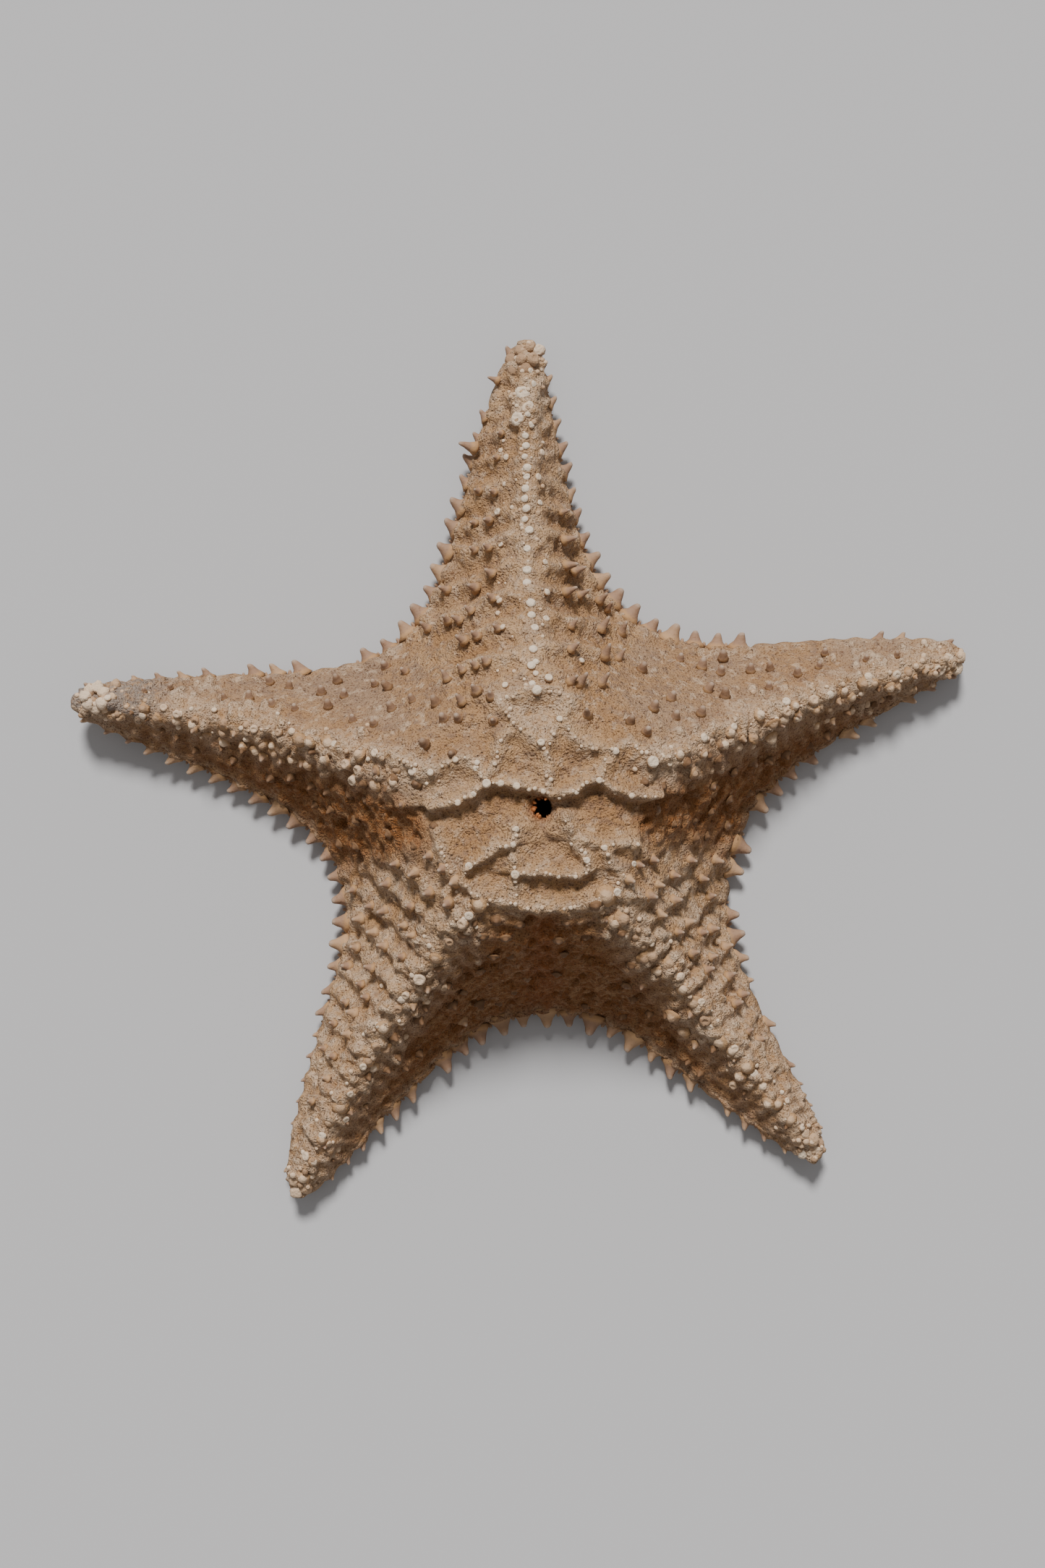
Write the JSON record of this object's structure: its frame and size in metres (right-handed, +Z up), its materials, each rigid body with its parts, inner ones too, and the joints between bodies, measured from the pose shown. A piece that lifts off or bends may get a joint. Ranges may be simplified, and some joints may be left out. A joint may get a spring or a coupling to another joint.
{
  "type": "dried starfish",
  "caption": "Dried cushion sea star lying on its mouth side: domed disc, keeled tapering arms, spiny rim and back, and a small hole through the middle.",
  "frame": {"origin": "centre of the outline's box, on the surface that the mouth side rests on", "axes": "+Z up out of the domed back; +Y towards the end of the one arm that points straight away from the wide bay; +X to its right, along the longest extent"},
  "size_m": [0.222, 0.213, 0.0459],
  "materials": {
    "dried_skin": "matte",
    "spines": "matte",
    "pale_buttons": "matte"
  },
  "bodies": {
    "root": {"starfish": "dried_skin"}
  },
  "joints": []
}
